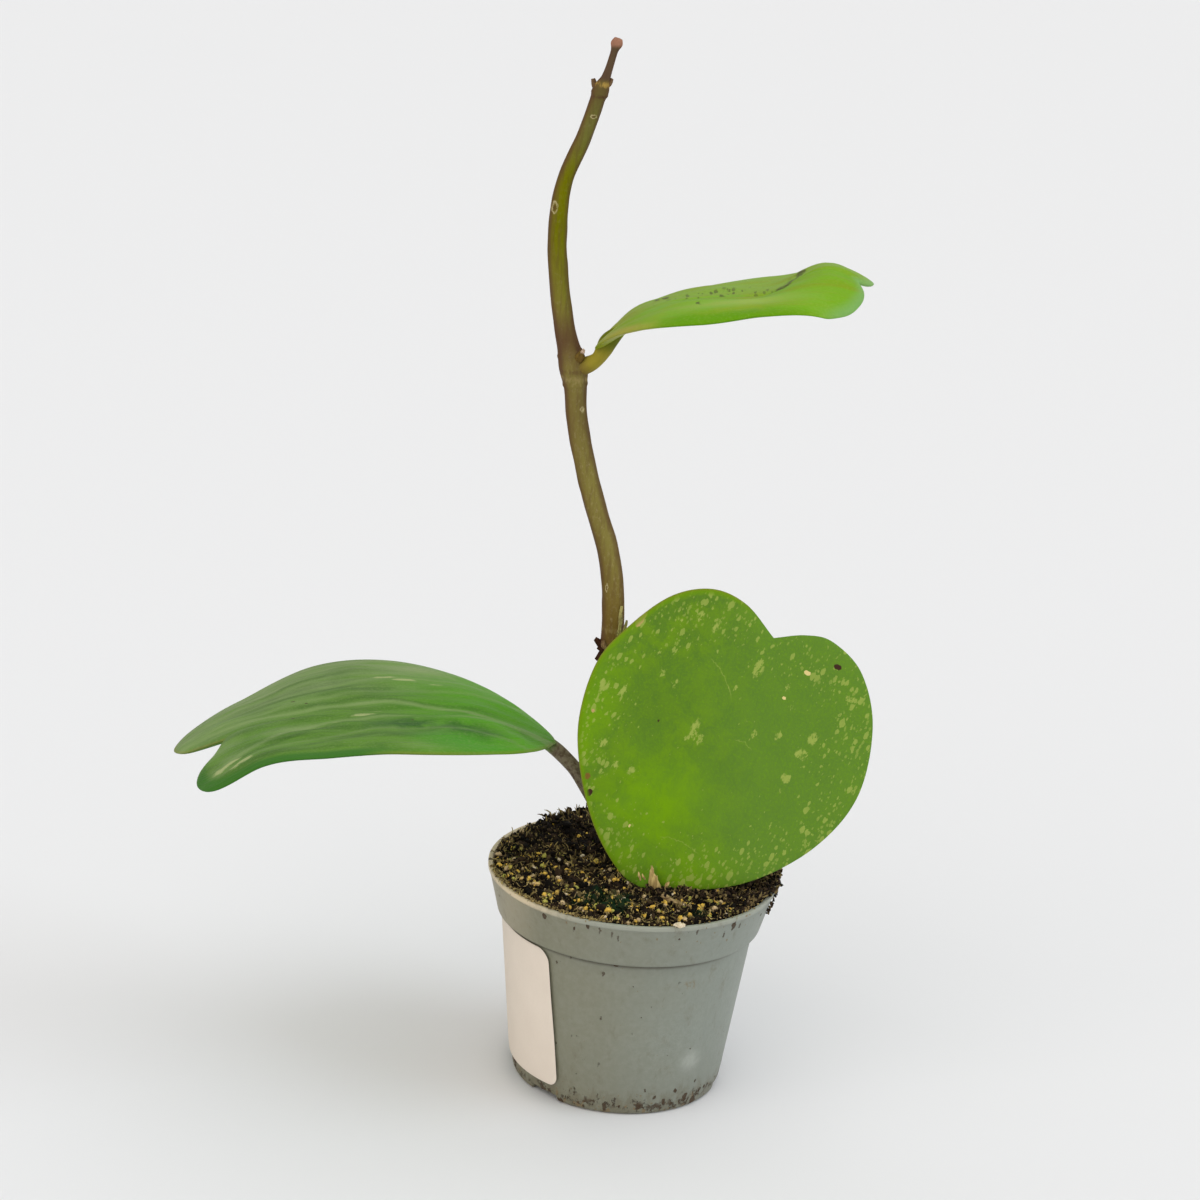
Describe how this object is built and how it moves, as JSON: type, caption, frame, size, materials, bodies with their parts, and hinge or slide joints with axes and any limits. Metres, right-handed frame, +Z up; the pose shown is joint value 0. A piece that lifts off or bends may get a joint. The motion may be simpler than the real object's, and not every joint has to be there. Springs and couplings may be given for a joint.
{
  "type": "potted hoya plant",
  "caption": "Young hoya in a small tapered nursery pot: dark crumbly soil, a bare paper label, a slender jointed vine stem and thick heart-shaped leaves on short stalks.",
  "frame": {"origin": "centre of the pot's flat underside, on the surface that the pot stands on", "axes": "+Z up along the pot's axis; -Y towards the viewer of the picture, the side that the heart-shaped front leaf faces; +X to the viewer's right, the side that the upper leaf points to"},
  "size_m": [0.1407, 0.0631, 0.2144],
  "materials": {
    "pot_plastic": "satin",
    "label_paper": "matte",
    "potting_soil": "matte",
    "stem_skin": "satin",
    "front_leaf_flesh": "satin",
    "left_leaf_flesh": "satin",
    "upper_leaf_flesh": "satin",
    "dry_husk": "matte",
    "dead_wood": "matte"
  },
  "bodies": {
    "root": {"pot": "pot_plastic", "label": "label_paper", "soil": "potting_soil", "stem": "stem_skin", "leaf_front": "front_leaf_flesh", "leaf_left": "left_leaf_flesh", "leaf_upper": "upper_leaf_flesh", "dry_scale": "dry_husk", "dead_stalk": "dead_wood"}
  },
  "joints": []
}
